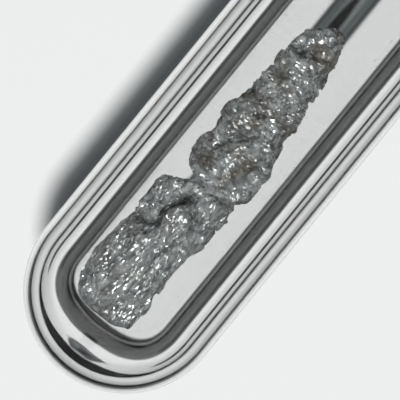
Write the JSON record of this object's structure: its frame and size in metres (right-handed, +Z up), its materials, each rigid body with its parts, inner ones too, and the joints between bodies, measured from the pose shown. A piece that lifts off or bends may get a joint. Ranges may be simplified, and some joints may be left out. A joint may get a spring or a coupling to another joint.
{
  "type": "arsenic specimen in a sealed glass tube",
  "caption": "Sealed round-ended glass tube lying on its side, with lumps of grey metallic arsenic in a thick-walled inner ampoule.",
  "frame": {"origin": "middle of the line on which the tube lies, at the surface it lies on (bottom centre of the bounding box)", "axes": "+X along the tube's axis, from the round end that the arsenic lies against to the far round end; +Y across the tube, level; +Z up"},
  "size_m": [0.056, 0.013, 0.013],
  "materials": {
    "tube_glass": "clear, fire-polished",
    "ampoule_glass": "clear, fire-polished",
    "arsenic": "grey metallic, crystalline, glittering"
  },
  "bodies": {
    "root": {"outer_tube_body": "tube_glass", "outer_tube_seal": "tube_glass", "ampoule_body": "ampoule_glass", "ampoule_seal": "ampoule_glass", "arsenic_lump_lower": "arsenic", "arsenic_lump_upper": "arsenic"}
  },
  "joints": []
}
